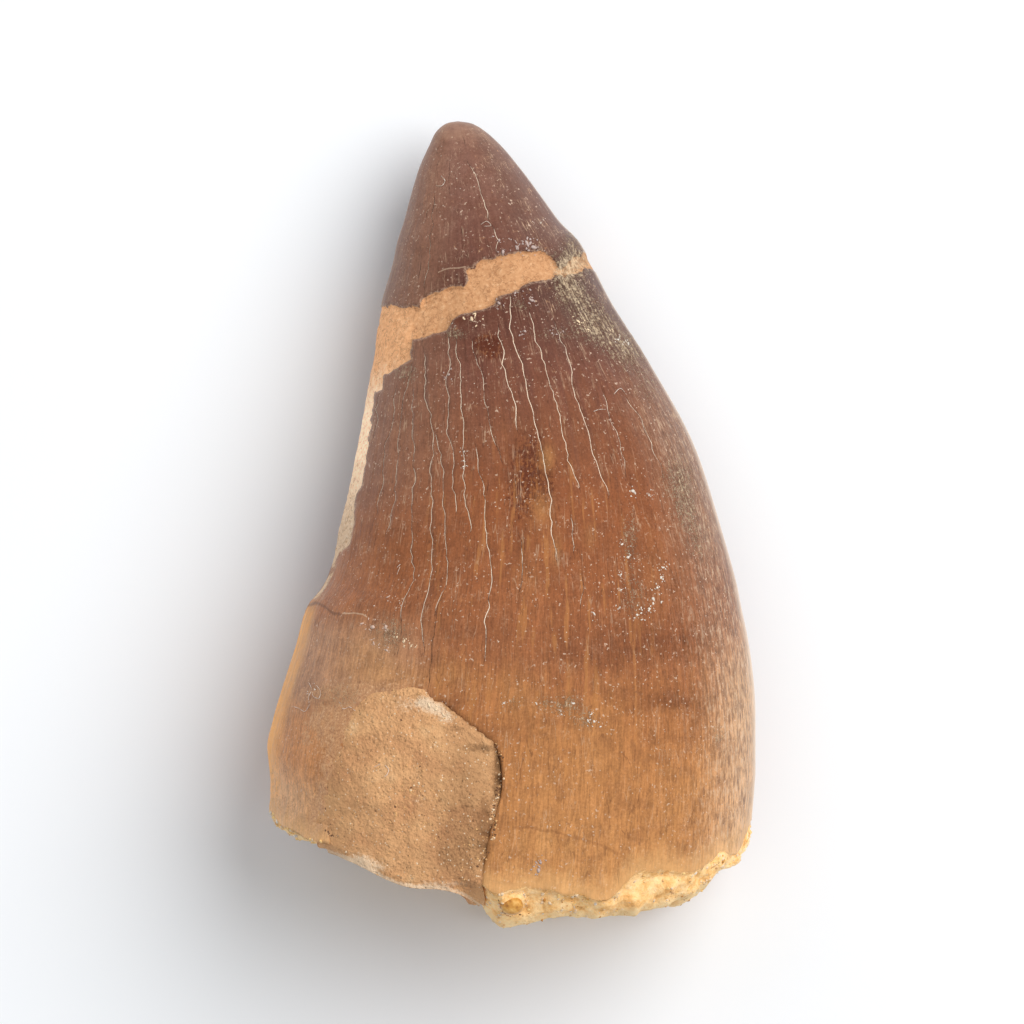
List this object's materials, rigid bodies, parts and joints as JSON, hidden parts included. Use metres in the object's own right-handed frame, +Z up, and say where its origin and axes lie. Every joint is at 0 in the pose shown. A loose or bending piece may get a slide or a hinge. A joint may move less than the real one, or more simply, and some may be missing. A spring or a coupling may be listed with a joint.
{
  "type": "fossil mosasaur tooth",
  "caption": "Large conical reptile tooth crown, cracked brown enamel with a pale break near the tip and sandy matrix in the broken base, lying on its flatter side.",
  "frame": {"origin": "bottom centre of the tooth's box, on the surface that it lies on", "axes": "+Y from the broken base to the tip, +X to the tooth's wider bulging edge, +Z up from the surface that it lies on"},
  "size_m": [0.0364, 0.06, 0.0251],
  "materials": {
    "enamel": "semi-gloss brown fossil enamel, cracked lengthwise, darker at the tip and golden at the base",
    "matrix": "dull tan sandy sediment with fine dark and pale grains"
  },
  "bodies": {
    "root": {"tooth_crown": "enamel", "sandy_matrix": "matrix"}
  },
  "joints": []
}
